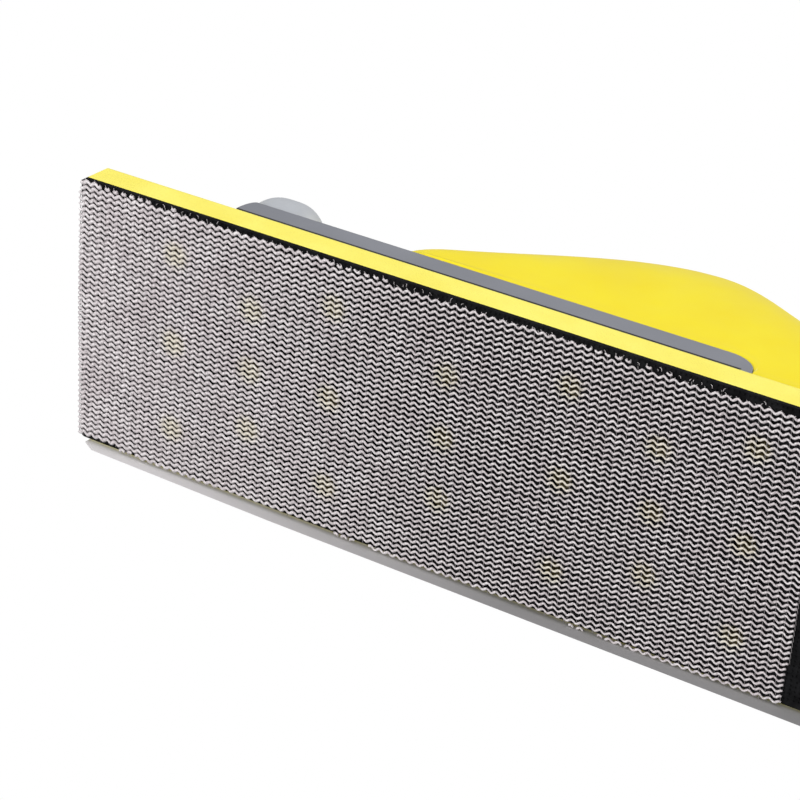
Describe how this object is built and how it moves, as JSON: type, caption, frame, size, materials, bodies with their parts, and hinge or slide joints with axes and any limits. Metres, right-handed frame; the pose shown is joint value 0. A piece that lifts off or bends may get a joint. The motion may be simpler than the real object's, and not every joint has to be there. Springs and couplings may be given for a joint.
{
  "type": "hand sanding block with dust extraction",
  "caption": "Long hand sanding block with a domed palm handle, net abrasive on a hook face, a turning bypass ring and a swivelling hose spigot.",
  "frame": {"origin": "centre of the sanding face, on the plane that the abrasive net rests on", "axes": "+X from the nose along the block to the hose end, +Z from the sanding face up to the palm handle"},
  "size_m": [0.2495, 0.0716, 0.0735],
  "materials": {
    "abrasive_mesh": "coarse knitted abrasive net",
    "hook_fabric": "moulded hooks",
    "pad_foam": "cut polyurethane",
    "yellow_plastic": "fine satin",
    "grey_plastic": "fine satin",
    "light_grey_plastic": "smooth satin",
    "soft_grip": "soft-touch grain",
    "black_plastic": "satin",
    "seal_rubber": "matte",
    "white_acetal": "smooth",
    "steel": "zinc plated"
  },
  "bodies": {
    "block": {"hook_face": "hook_fabric", "pad_slab": "pad_foam", "base_plate": "black_plastic", "base_plate_screws": "steel", "chamber_seal": "seal_rubber", "lower_housing": "grey_plastic", "nose_cap": "light_grey_plastic", "nose_screws": "steel", "handle_shell": "yellow_plastic", "palm_inlay": "soft_grip", "handle_screws": "steel", "dust_duct": "black_plastic", "duct_seal": "seal_rubber", "duct_screws": "steel", "tail_cap": "grey_plastic", "bypass_washer": "seal_rubber", "thrust_washer": "white_acetal"},
    "abrasive_sheet": {"abrasive_net": "abrasive_mesh"},
    "bypass": {"bypass_ring": "grey_plastic"},
    "hose_connector": {"hose_spigot": "black_plastic", "spigot_o_ring": "seal_rubber", "spigot_clip": "steel"}
  },
  "joints": [
    {"name": "net_pull", "type": "slide", "parent": "block", "child": "abrasive_sheet", "axis": [0, 0, -1], "range_m": [0, 0.03]},
    {"name": "bypass_turn", "type": "hinge", "parent": "block", "child": "bypass", "pos_m": [0.099, 0, 0.0324], "axis": [1, 0, 0], "range_deg": [0, 60]},
    {"name": "hose_swivel", "type": "hinge", "parent": "block", "child": "hose_connector", "pos_m": [0.12, 0, 0.0324], "axis": [1, 0, 0], "continuous": true}
  ]
}
